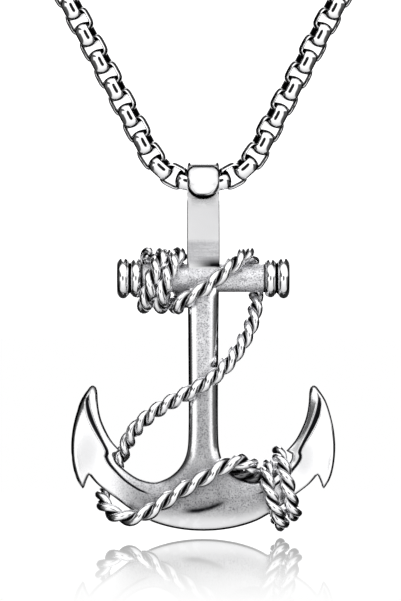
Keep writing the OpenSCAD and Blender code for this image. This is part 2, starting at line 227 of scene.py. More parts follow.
# Middle line of the chain from the right jump ring down to the front links
BACK_ROUTE = [
    [9.6, 2.9, 0], [20, 1, -1], [34, -6, -4], [46, -16, -10], [55, -28, -18],
    [62, -42, -29], [66, -56, -41], [67, -70, -54], [66, -84, -69], [62, -97, -84],
    [57, -107, -98], [51, -115, -112], [44, -121, -126], [36, -125, -141], [28, -126, -156]]
BACK_GAPS = 148

# Clasp, as in the part's source: claw and neck by middle, outer and inner radius, eye by middle,
# outer radius and hole
CLASP_Y = 2.9
CLASP_T = 1.8
CLAW = (-3.2, 2.9, 1.85)
NECK = (1.2, 2.1, 0.95)
EYE = (4.2, 1.45, 0.8)
CLASP_EDGE = 0.35
NECK_JOIN_HALF = 0.8

# Floor's half size, the mirror image's share and fade, and the camera's distance
FLOOR_HALF = 3000.0
MIRROR_SHARE = 0.64
MIRROR_FADE = 145.0
CAMERA_DISTANCE = 600.0


def smooth(low, high, value):
    """0 below low, 1 above high, and a smooth step between."""
    t = np.clip((value - low) / (high - low), 0, 1)
    return t * t * (3 - 2 * t)


def curve(points, steps):
    """Curve through the points, with a number of steps from each to the next."""
    p = np.array(points, float)
    last = len(p) - 1
    t = (np.arange(steps) / steps)[:, None]
    out = []
    for i in range(last):
        a, b, c, d = p[max(i - 1, 0)], p[i], p[i + 1], p[min(i + 2, last)]
        out.append(0.5 * (2 * b + (c - a) * t + (2 * a - 5 * b + 4 * c - d) * t**2
                          + (3 * b - a - 3 * c + d) * t**3))
    return np.vstack(out + [p[last:]])


def runs(path):
    """Distance run along the path at each of its points."""
    return np.concatenate([[0], np.cumsum(np.linalg.norm(np.diff(path, axis=0), axis=1))])


def at_runs(path, run, wanted):
    """Points of the path at the wanted distances along it."""
    return np.stack([np.interp(wanted, run, path[:, k]) for k in range(path.shape[1])], axis=1)


def even(path, spacing):
    """The path in even steps of about the spacing."""
    run = runs(path[:, :2])
    count = max(int(round(run[-1] / spacing)), 2)
    return at_runs(path, run, np.linspace(0, run[-1], count + 1))


def unit(vectors):
    return vectors / np.linalg.norm(vectors, axis=-1, keepdims=True)


def mirrored(line):
    """The same rows on the other side of x = 0."""
    return line * np.array([-1.0, 1.0, 1.0])


def carried_frame(path, start):
    """Directions along the path, and side vectors carried along it without twist."""
    along = unit(np.gradient(path, axis=0))
    side = np.empty_like(along)
    vector = np.array(start, float)
    for i, direction in enumerate(along):
        vector = vector - vector.dot(direction) * direction
        vector /= np.linalg.norm(vector)
        side[i] = vector
    return along, side, np.cross(along, side)


def grid_faces(rows, columns, closed):
    """Quads of a grid whose columns close round, and whose rows do if closed."""
    last = rows if closed else rows - 1
    i, j = np.meshgrid(np.arange(last), np.arange(columns), indexing="ij")
    i2 = (i + 1) % rows
    j2 = (j + 1) % columns
    quads = np.stack([i * columns + j, i * columns + j2, i2 * columns + j2, i2 * columns + j], -1)
    return quads.reshape(-1, 4)


def tube_faces(rows, sides):
    """Faces of an open grid of rings, closed at both ends."""
    faces = grid_faces(rows, sides, False)[:, ::-1].tolist()
    faces.append(list(range(sides)))
    faces.append([(rows - 1) * sides + j for j in range(sides)][::-1])
    return faces


def new_object(name, data):
    """Object of the data, put in the scene."""
    item = bpy.data.objects.new(name, data)
    scene.collection.objects.link(item)
    return item


def add_piece(name, parts, material, sharp=None):
    """One mesh object from parts, each a dict of points, faces and values per point."""
    points = np.vstack([part["points"] for part in parts])
    faces, start = [], 0
    for part in parts:
        faces += [[int(v) + start for v in face] for face in part["faces"]]
        start += len(part["points"])
    mesh = bpy.data.meshes.new(name)
    mesh.from_pydata((points * MM).tolist(), [], faces)
    for key in sorted({key for part in parts for key in part["values"]}):
        values = [np.broadcast_to(part["values"].get(key, 0.0), len(part["points"]))
                  for part in parts]
        layer = mesh.attributes.new(key, "FLOAT", "POINT")
        layer.data.foreach_set("value", np.concatenate(values).astype(np.float32))
    mesh.shade_smooth()
    if sharp is not None:
        mesh.set_sharp_from_angle(angle=math.radians(sharp))
    mesh.materials.append(material)
    return new_object(name, mesh)


def steel(level, blue):
    """Grey with its red and green at the level, and its blue a little above."""
    return (level, level, blue, 1)


NOISE_ROUGHNESS = 0.55
WHITE = (1, 1, 1, 1)


class Nodes:
    """A small helper to build a node tree."""

    def __init__(self, tree):
        self.tree = tree
        self.tree.nodes.clear()

    def add(self, kind, inputs=None, **settings):
        """Node with its settings, and inputs by name or number, each a value or a socket."""
        node = self.tree.nodes.new(kind)
        for key, value in settings.items():
            setattr(node, key, value)
        for key, value in (inputs or {}).items():
            if isinstance(value, bpy.types.NodeSocket):
                self.tree.links.new(value, node.inputs[key])
            else:
                node.inputs[key].default_value = value
        return node

    def math(self, operation, *values, clamp=False):
        inputs = dict(enumerate(values))
        node = self.add("ShaderNodeMath", inputs, operation=operation, use_clamp=clamp)
        return node.outputs[0]

    def times(self, a, b):
        return self.math("MULTIPLY", a, b)

    def larger(self, a, b):
        return self.math("MAXIMUM", a, b)

    def mix(self, factor, a, b):
        return self.add("ShaderNodeMix", {0: factor, 6: a, 7: b}, data_type="RGBA").outputs[2]

    def step(self, value, low, high, out_low=0.0, out_high=1.0):
        """Smooth step from out_low to out_high as the value goes from low to high."""
        inputs = dict(enumerate((value, low, high, out_low, out_high)))
        node = self.add("ShaderNodeMapRange", inputs, interpolation_type="SMOOTHSTEP")
        return node.outputs[0]

    def attribute(self, name):
        return self.add("ShaderNodeAttribute", attribute_name=name).outputs["Fac"]

    def noise(self, size_mm, detail=3.0, stretch=(1, 1, 1)):
        """Noise with features of about size_mm, from 0 to 1 around 0.5."""
        place = self.add("ShaderNodeTexCoord").outputs["Object"]
        scaled = self.add("ShaderNodeMapping", {"Vector": place, "Scale": stretch})
        node = self.add("ShaderNodeTexNoise", {
            "Vector": scaled.outputs[0], "Scale": 1 / (size_mm * MM), "Detail": detail,
            "Roughness": NOISE_ROUGHNESS})
        return node.outputs["Fac"]

    def output(self, shader, kind="ShaderNodeOutputMaterial"):
        self.add(kind, {"Surface": shader.outputs[0]})

    def metal(self, color, roughness, bump_height, bump_mm):
        """Principled metal with its colour, roughness and bump, as the material's output."""
        bump = self.add("ShaderNodeBump", {"Distance": bump_mm * MM, "Height": bump_height})
        self.output(self.add("ShaderNodeBsdfPrincipled", {
            "Metallic": 1.0, "Base Color": color, "Specular Tint": color,
            "Roughness": roughness, "Normal": bump.outputs[0]}))


def new_material(name):
    material = bpy.data.materials.new(name)
    material.use_nodes = True
    return material, Nodes(material.node_tree)


def anchor_steel():
    """Polished steel, blasted where blast is 1, and black where its dark attribute is 1: blackened
    grooves, painted shade and painted dark edge lines.
    """
    material, nodes = new_material("anchor_steel")
    mix, step, times = nodes.mix, nodes.step, nodes.times
    blast = nodes.attribute("blast")
    recess = nodes.attribute("recess")
    grain = nodes.noise(0.16, detail=2.0)
    patches = nodes.noise(1.1)
    wide = nodes.noise(4.0, detail=2.0)
    rubbed = mix(step(patches, 0.35, 0.68), steel(0.75, 0.77), steel(0.96, 0.98))
    speckled = mix(step(grain, 0.34, 0.54), steel(0.38, 0.40), rubbed)
    clean = mix(wide, steel(0.88, 0.895), steel(0.95, 0.955))
    # Satin greys the colour a little; on the fluke spots this grey is painted shade
    satin_grey_and_shade = step(nodes.attribute("satin"), 0.2, 1.0, 0.0, 0.13)
    clean = mix(satin_grey_and_shade, clean, steel(0.5, 0.51))
    color = mix(blast, clean, speckled)
    lines = nodes.noise(0.20, detail=2.0, stretch=(0.08, 1, 1))
    drawn = times(nodes.attribute("brushed"), step(lines, 0.38, 0.64, 0.62, 0.36))
    color = mix(drawn, color, steel(0.46, 0.48))
    worn_off = step(patches, 0.2, 0.5, 0.15, 0.0)
    uneven = nodes.math("SUBTRACT", times(recess, 1.15), worn_off, clamp=True)
    color = mix(uneven, color, steel(0.010, 0.012))
    polished = step(wide, 0.3, 0.7, 0.10, 0.15)
    roughness = nodes.math("MULTIPLY_ADD", nodes.attribute("satin"), 0.38, polished)
    nodes.metal(color, roughness, times(grain, blast), bump_mm=0.03)
    return material


def rope_steel():
    """Polished strands with blackened grooves."""
    material, nodes = new_material("rope_steel")
    recess = nodes.attribute("recess")
    patches = nodes.noise(0.7)
    clean = nodes.mix(patches, steel(0.84, 0.86), steel(0.96, 0.965))
    color = nodes.mix(recess, clean, steel(0.008, 0.010))
    roughness = nodes.step(patches, 0.3, 0.7, 0.12, 0.22)
    nodes.metal(color, roughness, patches, bump_mm=0.02)
    return material


def chain_steel():
    """Bright tumbled steel of the links, clasp and rings, with painted shade inside the links and
    at their ends.
    """
    material, nodes = new_material("chain_steel")
    patches = nodes.noise(1.5, detail=4.0)
    fine = nodes.noise(0.2, detail=2.0)
    clean = nodes.mix(patches, steel(0.90, 0.91), steel(0.97, 0.975))
    color = nodes.mix(nodes.attribute("recess"), clean, steel(0.010, 0.012))
    roughness = nodes.step(patches, 0.3, 0.7, 0.05, 0.11)
    nodes.metal(color, roughness, fine, bump_mm=0.002)
    return material


def rim_radius(x, z):
    """Rounding of the front rim: small beside the flat shank, wide outside left and below."""
    shank = smooth(-12.5, -13.5, z) * smooth(-34.5, -33.5, z) * (np.abs(x) < 6)
    below = 0.8 * smooth(-36.5, -38.5, z)
    wide = np.maximum.reduce([smooth(-13.0, -14.2, x), below, 0.3 * shank])
    return np.where(z > -9.3, RIM_R_TOP, RIM_R + (RIM_R_WIDE - RIM_R) * wide)


def nearest(line, points, closed):
    """Distance to the line, and the index of its nearest point."""
    tree = kdtree.KDTree(len(line))
    for i, (x, z) in enumerate(line):
        tree.insert((x, z, 0), i)
    tree.balance()
    index = np.array([tree.find((x, z, 0))[1] for x, z in points])
    best = np.full(len(points), np.inf)
    count = len(line)
    for step in (-1, 1):
        other = (index + step) % count if closed else np.clip(index + step, 0, count - 1)
        a, b = line[index], line[other]
        ab = b - a
        length2 = np.maximum((ab**2).sum(1), 1e-12)
        t = np.clip(((points - a) * ab).sum(1) / length2, 0, 1)
        best = np.minimum(best, np.linalg.norm(points - a - ab * t[:, None], axis=1))
    return best, index


def inside(loop, points):
    """Which points lie inside the closed loop."""
    result = np.zeros(len(points), bool)
    following = np.roll(loop, -1, axis=0)
    for (x1, z1), (x2, z2) in zip(loop, following):
        crosses = (z1 > points[:, 1]) != (z2 > points[:, 1])
        if z1 != z2:
            result ^= crosses & (points[:, 0] < (x2 - x1) * (points[:, 1] - z1) / (z2 - z1) + x1)
    return result


def stretched(points, triangles, known):
    """Heights of a membrane stretched between the known heights; the others are nan."""
    count = len(points)
    links = []
    for k in range(3):
        a, b, c = np.roll(triangles, -k, axis=1).T
        u, v = points[b] - points[a], points[c] - points[a]
        area2 = np.abs(u[:, 0] * v[:, 1] - u[:, 1] * v[:, 0])
        weight = (u * v).sum(1) / np.maximum(area2, 1e-7)
        links += [(b, c, weight), (c, b, weight)]
    start, end, weight = (np.concatenate(x) for x in zip(*links))
    degree = np.bincount(start, weight, count)
    free = np.isnan(known)
    height = np.where(free, np.nanmean(known), known)

    def pull(value):
        return degree * value - np.bincount(start, weight * value[end], count)

    residual = np.where(free, -pull(height), 0.0)
    scaled = residual / degree
    direction = scaled.copy()
    power = residual.dot(scaled)
    for _ in range(STRETCH_ROUNDS):
        image = np.where(free, pull(direction), 0.0)
        step = power / direction.dot(image)
        height += step * direction
        residual -= step * image
        scaled = residual / degree
        new_power = residual.dot(scaled)
        if new_power < 1e-12:
            break
        direction = scaled + new_power / power * direction
        power = new_power
    return height, (start, end, weight)


def groove_width(ridge):
    """Half width of the groove at each point of its ridge, no less than the mesh needs."""
    return np.maximum(np.interp(runs(ridge), GROOVE_RUN, GROOVE_HALF), GROOVE_LEAST)


def off_rim(loop, points, gap):
    """Which points lie inside the rim's rounding by more than the gap."""
    distance, _ = nearest(loop, points, True)
    return distance > np.maximum(rim_radius(*points.T), RIM_R) + gap


def rim_rows(loop):
    """Rows inside the outline, and which of their points are clear of its other stretches."""
    following = np.roll(loop, -1, axis=0) - np.roll(loop, 1, axis=0)
    inward = unit(np.stack([-following[:, 1], following[:, 0]], 1))
    radius = rim_radius(*loop.T)
    for share in RIM_SHARES:
        row = loop + inward * (radius * share)[:, None]
        distance, _ = nearest(loop, row, True)
        yield row, distance > RIM_CLEAR * radius * share


def groove_rows(loop, ridge):
    """Rows along the ridge's groove, and which of their points are inside and clear."""
    along = unit(np.gradient(ridge, axis=0))
    across = np.stack([-along[:, 1], along[:, 0]], 1)
    reach = GROOVE_REACH * groove_width(ridge)
    for share in GROOVE_SHARES:
        row = ridge + across * (reach * share)[:, None]
        gap, _ = nearest(ridge, row, False)
        clear = inside(loop, row) & off_rim(loop, row, ROW_GAP)
        yield row, clear & (gap > GROOVE_CLEAR * reach * abs(share))


def grid_points(loop, ridges, creases):
    """Even grid inside the outline, clear of the rim, the grooves and the creases."""
    xs = np.arange(-GRID_HALF, GRID_HALF + 0.01, CELL)
    zs = np.arange(GRID_LOW, SHANK_TOP, CELL)
    grid = np.stack(np.meshgrid(xs, zs), -1).reshape(-1, 2)
    grid[:, 0] += np.where((np.round(grid[:, 1] / CELL) % 2) > 0, CELL / 4, -CELL / 4)
    grid = grid[inside(loop, grid)]
    for ridge in ridges:
        gap, index = nearest(ridge, grid, False)
        grid = grid[gap > 1.5 * groove_width(ridge)[index] + GRID_GAP]
    grid = grid[off_rim(loop, grid, GRID_GAP)]
    gap, _ = nearest(creases, grid, False)
    return grid[gap > GRID_GAP]


def spot(x, z, shape):
    """Soft oval spot on the cast."""
    middle_x, middle_z, half_x, half_z, full, strength = shape
    gap = np.hypot((x - middle_x) / half_x, (z - middle_z) / half_z)
    return strength * smooth(1.0, full, gap)


def cast_looks(x, z, distance, keel, grooves):
    """Where the cast is blasted, satin, dark and brushed, the dark being blackened grooves,
    painted shade and painted dark edge lines; distance is that to the outline.
    """
    across = np.abs(x)
    upper = z > UPPER_END
    lower = smooth(*LOWER_START, z)
    keel_gap, _ = nearest(keel[:, :2], np.stack([x, z], 1), False)
    right_keel = keel[len(keel) // 2:, :2]
    below_keel = (z < np.interp(across, *right_keel.T)) & (across < 8)

    # Blasted: the lower shank and the crown, fading over the keel
    shank = smooth(0.75, 1.25, distance) * lower * smooth(-33.8, -31.3, z) * (across < 3)
    etched = smooth(-6.5, -7.1, z) * smooth(UPPER_END, -9.2, z)
    crown = smooth(-31.0, -33.5, z) * smooth(10.6, 5.6, np.where(x < 0, across - 1.2, across))
    blast = np.maximum.reduce([shank, 0.35 * etched, crown])
    blast = np.where(below_keel, 0.55 * blast * smooth(1.2, 0.0, keel_gap), blast)

    # Satin: the flat shank, below the keel and soft spots on each fluke, less so at the rim; the
    # spots' greyer satin colour is painted shade
    fluke_satin_shade = np.maximum(spot(x, z, LEFT_FLUKE_SATIN_SHADE), spot(x, z, RIGHT_FLUKE_SATIN_SHADE))
    satin = np.maximum.reduce([blast, (z > LOWER_START[0]) * 0.95, below_keel * 0.6, fluke_satin_shade])
    satin = np.where(z < -12.5, satin * (0.15 + 0.85 * smooth(0.12, 0.6, distance)), satin)

    # Darkened: the lower shank and crown; painted shade on the keel's underside and in a streak on
    # it
    above = z - np.interp(x, *CREASE_SHADE_LINE)
    crease_shade = smooth(0.5, 0.05, np.abs(above)) * 0.5
    crease_shade += smooth(1.9, 0.0, above) * smooth(-0.4, 0.0, above) * 0.35
    crease_shade *= smooth(3.3, 1.2, np.abs(x - 0.2))
    darkening_and_shade = 0.34 * np.maximum(smooth(-20, -27, z) * shank, crown)
    darkening_and_shade = np.where(below_keel, 0.06 + 0.34 * smooth(1.6, 0.0, keel_gap), darkening_and_shade)
    darkening_and_shade = 1 - (1 - darkening_and_shade) * (1 - crease_shade)

    # Painted shade in the angle over the stock, and in the fillets where the arms leave the shank
    corner_shade = smooth(1.2, 0.0, z - UPPER_END) * smooth(-1.6, 1.2, x) * (z > -9.8) * 0.9
    in_crotch = smooth(-31.0, -33.0, z) * smooth(-36.0, -35.0, z) * smooth(6.0, 4.0, across)
    fillet_shade = smooth(1.0, 0.2, distance) * in_crotch * 0.7

    # Painted dark line inside the rim, for the dark reflection at its rounded edge, wider at the
    # left and the shank, lighter below the right fluke
    width = (0.26 + 0.12 * smooth(-12.0, -13.0, x) + 0.10 * lower * (across < 3)
             - 0.06 * smooth(-36, -38, z) + 0.14 * smooth(-24.9, -24.2, z) * (across > 10))
    outline = 0.8 * smooth(width, 0.45 * width, distance) * smooth(0.0, 0.05, distance) * lower
    lighter = 0.7 * smooth(9.0, 10.0, x) * smooth(13.4, 12.8, x) * smooth(-32.5, -33.5, z)
    outline = outline * (1 - lighter)
    # A thin painted dark line along the upper shank's rim as well
    outline = np.maximum(outline, 0.7 * smooth(0.12, 0.085, distance) * upper)
    shade = np.maximum(tongue_shade(x, z), spot(x, z, LEFT_TIP_SHADE))
    recess = np.maximum.reduce([grooves, corner_shade, fillet_shade, darkening_and_shade, shade, outline])
    return {"blast": blast, "satin": satin, "recess": recess, "brushed": etched}


def anchor_body():
    """Shank and arms: a membrane over the outline and its creases, mirrored to the back."""
    stretches = [even(curve(stretch, 12), OUTLINE_STEP) for stretch in OUTLINE]
    half = np.vstack([stretch[:-1] for stretch in stretches] + [stretches[-1][-1:]])
    outline = np.vstack([half, mirrored(half)[-2::-1]])[::-1]
    loop = outline[:, :2]
    lines = []
    for line in (SHANK_EDGE, SHANK_BAND, SHANK_FACE, RIDGE):
        right = even(curve(line, 10), CREASE_STEP)
        lines += [right, mirrored(right)]
    ridges = [line[:, :2] for line in lines[-2:]]
    keel = even(curve(KEEL, 10), CREASE_STEP)
    keel = np.vstack([mirrored(keel)[:0:-1], keel])
    lines.append(keel)

    # Points in rows on the creases, inside the rim and along the grooves, and a grid elsewhere
    candidates = [(line[:, :2], np.ones(len(line), bool)) for line in lines]
    candidates += rim_rows(loop)
    for ridge in ridges:
        candidates += groove_rows(loop, ridge)
    rows, edges, start = [loop], [], len(loop)
    for row, clear in candidates:
        place = np.cumsum(clear) - 1 + start
        linked = clear[1:] & clear[:-1]
        edges += zip(place[:-1][linked].tolist(), place[1:][linked].tolist())
        rows.append(row[clear])
        start += clear.sum()
    creases = np.vstack(rows[1:len(lines) + 1])
    given = np.vstack(rows + [grid_points(loop, ridges, creases)])
    given_height = np.full(len(given), np.nan)
    fixed = np.vstack([outline] + lines)
    given_height[:len(fixed)] = fixed[:, 2]

    # Triangles between all of them, and where the given points ended up
    corners, _, faces, origins, _, _ = delaunay_2d_cdt(
        [tuple(p) for p in given], edges, [list(range(len(loop)))], 1, 1e-5)
    flat = np.array([tuple(c) for c in corners])
    triangles = np.array([f for f in faces if len(f) == 3])
    known = np.full(len(flat), np.nan)
    order = np.full(len(loop), -1)
    for i, origin in enumerate(origins):
        for source in origin:
            if source < len(loop):
                order[source] = i
            if np.isnan(known[i]):
                known[i] = given_height[source]
    height, (start, end, weight) = stretched(flat, triangles, known)

    # Soften the creases, cut the grooves and round the rim
    distance, _ = nearest(loop, flat, False)
    on_rim = distance < 1e-4
    weight = np.maximum(weight, 0.0) + 1e-3
    degree = np.bincount(start, weight, len(flat))
    for _ in range(SOFTEN_ROUNDS):
        average = np.bincount(start, weight * height[end], len(flat)) / degree
        softened = (1 - SOFTEN_SHARE) * height + SOFTEN_SHARE * average
        height = np.where(on_rim, height, softened)
    grooves = np.zeros(len(flat))
    for ridge in ridges:
        gap, index = nearest(ridge, flat, False)
        run = runs(ridge)[index]
        width = np.interp(run, GROOVE_RUN, GROOVE_HALF)
        depth = np.interp(run, GROOVE_RUN, GROOVE_DEPTH)
        height -= depth * np.clip(1 - (gap / (GROOVE_REACH * width))**2, 0, 1)**2
        dark = smooth(1.0, 0.55, gap / width) * smooth(0.0, 0.12, depth)
        grooves = np.maximum(grooves, dark)
    x, z = flat.T
    radius = rim_radius(x, z)
    short = np.clip(radius - distance, 0, radius)
    height -= radius - np.sqrt(radius**2 - short**2)
    height = np.maximum(height, LEAST_HALF)

    # Front, back and the wall between
    turn = flat[triangles[:, 1]] - flat[triangles[:, 0]]
    other = flat[triangles[:, 2]] - flat[triangles[:, 0]]
    clockwise = turn[:, 0] * other[:, 1] - turn[:, 1] * other[:, 0] < 0
    triangles[clockwise] = triangles[clockwise][:, ::-1]
    front, back = (np.stack([x, y, z], 1) for y in (-height, height))
    count = len(flat)
    faces = triangles.tolist() + (triangles[:, ::-1] + count).tolist()
    faces += [[a, a + count, b + count, b] for a, b in zip(order, np.roll(order, -1))]
    looks = cast_looks(x, z, distance, keel, grooves)
    return {"points": np.vstack([front, back]) + BORE, "faces": faces,
            "values": {key: np.tile(value, 2) for key, value in looks.items()}}


def tongue_shade(x, z):
    """Soft darkening of the shank below the tongue."""
    return 0.16 * smooth(-3.2, -1.9, z) * smooth(1.9, 1.0, np.abs(x))


def stock():
    """Blasted bar with a pair of polished rings at each end, turned about X, with painted shade at
    the bar's end and at each ring's ends.
    """
    rows = [(x, STOCK_R, 1.0, 0.0) for x in np.linspace(0, STOCK_BAR_END - 0.25, 18)]
    # Painted shade in the crease where the bar meets the rings
    rows.append((STOCK_BAR_END - 0.06, STOCK_R, 1.0, 0.9))
    for start, end, radius, bulge in STOCK_RINGS:
        for t in np.linspace(0, math.pi, 25):
            x = (start + end) / 2 - (end - start) / 2 * math.cos(t)
            # Painted shade at each ring's ends, beside the creases
            edge = 1 - smooth(0.15, 0.6, math.sin(t))
            rows.append((x, radius + bulge * math.sin(t), 0.0, 0.9 * edge))
    x, radius, _, _ = rows[-1]
    rows.append((x + 0.01, radius - 0.5, 0.6, 0.0))
    right = np.array(rows)
    profile = np.vstack([right[:0:-1] * np.array([-1, 1, 1, 1]), right])
    count = len(profile)
    x, radius, blast, recess = np.repeat(profile, STOCK_SIDES, axis=0).T
    angle = np.tile(np.arange(STOCK_SIDES) * math.tau / STOCK_SIDES, count)
    points = np.stack([x, radius * np.cos(angle), radius * np.sin(angle)], 1)
    return {"points": points + (BORE + np.array([0, 0, STOCK_Z])),
            "faces": tube_faces(count, STOCK_SIDES),
            "values": {"blast": blast, "satin": blast, "recess": recess}}


def round_bore(rows):
    """Points (y, z) from rows of angle and radius round the bore."""
    turns = [(math.radians(angle), radius) for angle, radius in rows]
    return np.array([(-radius * math.sin(a), radius * math.cos(a)) for a, radius in turns])


def rounded(x, dz, radius, edge):
    """Distance past a strap's end rounded by the radius, and the edge's rise from 0 there to 1."""
    dx = np.clip(np.abs(x) - (BAIL_HALF - radius), 0, None)
    past = np.hypot(dx, np.clip(dz, 0, None)) - radius
    return past, np.sqrt(np.clip(1 - np.clip(1 + past / edge, 0, 1)**2, 0, 1))


def bail():
    """Rolled strap round the bore, with its pillow-like tongue in front of the shank."""
    outer_x = BAIL_HALF * np.sin(np.linspace(-1, 1, 91) * math.pi / 2)
    inner_x = np.linspace(1, -1, 7) * (BAIL_HALF - 0.12)
    top = round_bore(BAIL_TOP)
    outline = np.vstack([top, BAIL_FRONT, BAIL_FOOT, round_bore(BAIL_UNDER)])
    line = even(np.vstack([curve(outline, 12), top[:1]]), BAIL_STEP)[:-1]
    y, z = line[:, 0][:, None], line[:, 1][:, None]
    x = outer_x * (1 - 0.07 * smooth(-1.95, -2.4, z))
    ahead = y < -0.6
    raised = smooth(-0.7, -1.1, y)

    # Cushion: rounded at its top corners, and a half round tongue below
    past_top, step = rounded(x, z - (CUSHION_TOP - CUSHION_R), CUSHION_R, CUSHION_EDGE)
    dz = np.where(ahead, TONGUE_Z + TONGUE_R - z, 0)
    past, share = rounded(x, dz, TONGUE_R, BAIL_EDGE)

    # Each point moves towards the strap: inward above, straight back in front
    size = np.hypot(y, z)
    bore = np.sqrt(np.clip((BAIL_BORE_R + 0.06)**2 - z**2, 0, None))
    back_y = np.maximum(-np.maximum(STRAP_Y, bore), y)
    low = raised * smooth(0.4, -0.4, z)
    base_y = y * (1 - BAIL_ROUND / size) * (1 - low) + back_y * low
    base_z = z * (1 - BAIL_ROUND / size) * (1 - low) + z * low
    step = step * ahead
    lift = smooth(0.0, 0.35, share)
    out_y = base_y + (y - base_y) * share + y / size * CUSHION_STEP * step * lift
    out_z = base_z + (z - base_z) * share + z / size * CUSHION_STEP * step * lift

    # Painted shade: dark crescent at the tongue's edge, soft shade at the corners, and a dark line
    # round the cushion for the dark reflection at its edge
    crescent = 0.52 * (1 - ((x + 0.15) / 1.65)**2)
    dark = smooth(-crescent, -0.8 * crescent, past) * (crescent > 0.02) * (z < -0.5) * ahead
    dark = dark * smooth(0.12, 0.02, past)
    corners = 0.3 * smooth(0.8, 1.7, np.hypot(x, z - 0.3)) * raised * smooth(0.0, -0.1, past)
    dark = np.maximum(dark, corners)
    # The groove is a painted dark line, standing for the dark reflection at the cushion's edge
    groove = smooth(-0.13, -0.05, past_top) * smooth(0.24, 0.14, past_top) * raised
    groove = groove * smooth(-0.4, 1.0, z)
    skin = low * (1 - share)
    dark = np.maximum(dark, tongue_shade(x, z) * skin)

    # Bore's wall, row by row from the outer line, painted near black as shade
    turn = np.arctan2(-y, z)
    wall_y, wall_z = -BAIL_BORE_R * np.sin(turn), BAIL_BORE_R * np.cos(turn)
    wall = np.broadcast_arrays(inner_x, wall_y, wall_z, 0.9, 0.0)
    outer = (x, out_y, out_z, np.maximum(dark, groove), skin)
    xs, ys, zs, recess, skin = (np.hstack(pair) for pair in zip(outer, wall))
    points = np.stack([xs, ys, zs], -1).reshape(-1, 3)
    return {"points": points + BORE, "faces": grid_faces(*xs.shape, True).tolist(),
            "values": {"satin": skin.reshape(-1), "recess": recess.reshape(-1)}}


def anchor():
    piece = add_piece("anchor_cast", [anchor_body(), stock(), bail()], anchor_steel(), sharp=38)
    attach(piece, "pendant")
    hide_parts("anchor")


def laid(route, rows, start):
    """Strands laid round a middle line; rows give its radius and turn length along it."""
    path = curve(route, ROPE_CURVE_STEPS)
    run = runs(path)
    wanted = np.linspace(0, run[-1], int(run[-1] / ROPE_STEP))
    middle = at_runs(path, run, wanted)
    points_at, radii, turn_lengths = np.array(rows).T
    row_run = run[(points_at * ROPE_CURVE_STEPS).astype(int)]
    radius = np.interp(wanted, row_run, radii)
    lay = np.interp(wanted, row_run, turn_lengths)
    turns = np.concatenate([[0], np.cumsum(np.diff(wanted) / lay[1:])])
    _, side, up = carried_frame(middle, start)
    to_end = np.minimum(wanted, wanted[-1] - wanted)
    taper = np.sqrt(np.clip(to_end / ROPE_TAPER, 0.02, 1))
    beta = np.arange(STRAND_SIDES) * math.tau / STRAND_SIDES
    parts = []
    for strand in range(STRANDS):
        phase = ROPE_HAND * math.tau * turns + strand * math.tau / STRANDS
        out = np.cos(phase)[:, None] * side + np.sin(phase)[:, None] * up
        centre = middle + (radius * STRAND_OFFSET * taper)[:, None] * out
        strand_along = unit(np.gradient(centre, axis=0))
        out = unit(out - (out * strand_along).sum(1)[:, None] * strand_along)
        across = np.cross(strand_along, out)
        size = (radius * STRAND_R * taper)[:, None, None]
        ring = (np.cos(beta)[None, :, None] * out[:, None]
                + STRAND_FLAT * np.sin(beta)[None, :, None] * across[:, None])
        points = centre[:, None] + size * ring
        from_middle = np.linalg.norm(points - middle[:, None], axis=2) / radius[:, None]
        recess = ROPE_DARK * smooth(0.75, 0.60, from_middle) * taper[:, None]
        parts.append({"points": points.reshape(-1, 3) + BORE,
                      "faces": tube_faces(len(wanted), STRAND_SIDES),
                      "values": {"recess": recess.reshape(-1)}})
    return parts


def rope():
    """The laid rope, and a short turn tucked under it, black all over: blackening and painted
    shade in the gap under the hump.
    """
    parts = laid(ROPE_ROUTE, ROPE_ROWS, (0.3, 1.0, 0.2))
    tuck = laid(TUCK_ROUTE, TUCK_ROWS, (0.0, 1.0, 0.0))
    for part in tuck:
        part["values"]["recess"] = np.maximum(part["values"]["recess"], ROPE_DARK)
    piece = add_piece("rope_strands", parts + tuck, rope_steel())
    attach(piece, "pendant")
    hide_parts("rope")


def link_shape(round_steps, dome_steps):
    """One link along X with its hole along Y: a domed band with a squarish hole painted dark as
    shade.
    """
    t = (np.arange(round_steps) + 0.5) * math.tau / round_steps
    cos, sin = np.abs(np.cos(t)), np.abs(np.sin(t))
    outer, hole = (half * (cos**power + sin**power)**(-1 / power)
                   for half, power in (LINK_OUTLINE, LINK_HOLE))
    tilt = np.linspace(0, math.pi / 2, dome_steps)
    on_dome = np.minimum(tilt, LINK_DOME_TILT)
    side = LINK_DOME_R * np.sin(on_dome) + LINK_EDGE_R * (np.sin(tilt) - np.sin(on_dome))
    drop = LINK_DOME_R * (1 - np.cos(on_dome)) + LINK_EDGE_R * (np.cos(on_dome) - np.cos(tilt))
    band = side[-1]
    face = np.maximum(outer - drop[-1], hole + LINK_LIP)
    plain = np.zeros(round_steps)
    corner_shade = 0.25 + 0.75 * smooth(0.55, 0.85, 2 * cos * sin)
    rows = [(y, np.maximum(outer - d, face), plain) for y, d in zip(side, drop)]
    rows += [(band, hole + LINK_LIP, corner_shade), (band - LINK_LIP, hole, corner_shade),
             (band - 0.55, hole, plain + 1)]
    rows = [(-y, r, dark) for y, r, dark in rows[:0:-1]] + rows
    points = np.stack([np.stack([r * np.cos(t), np.full(round_steps, y), r * np.sin(t)], 1)
                       for y, r, _ in rows], axis=1)
    faces = grid_faces(round_steps, len(rows), True)[:, ::-1]
    dark = np.stack([dark for _, _, dark in rows], 1)
    ends = np.repeat(smooth(0.62, 0.80, cos), len(rows))
    return points.reshape(-1, 3), faces, dark.reshape(-1), ends


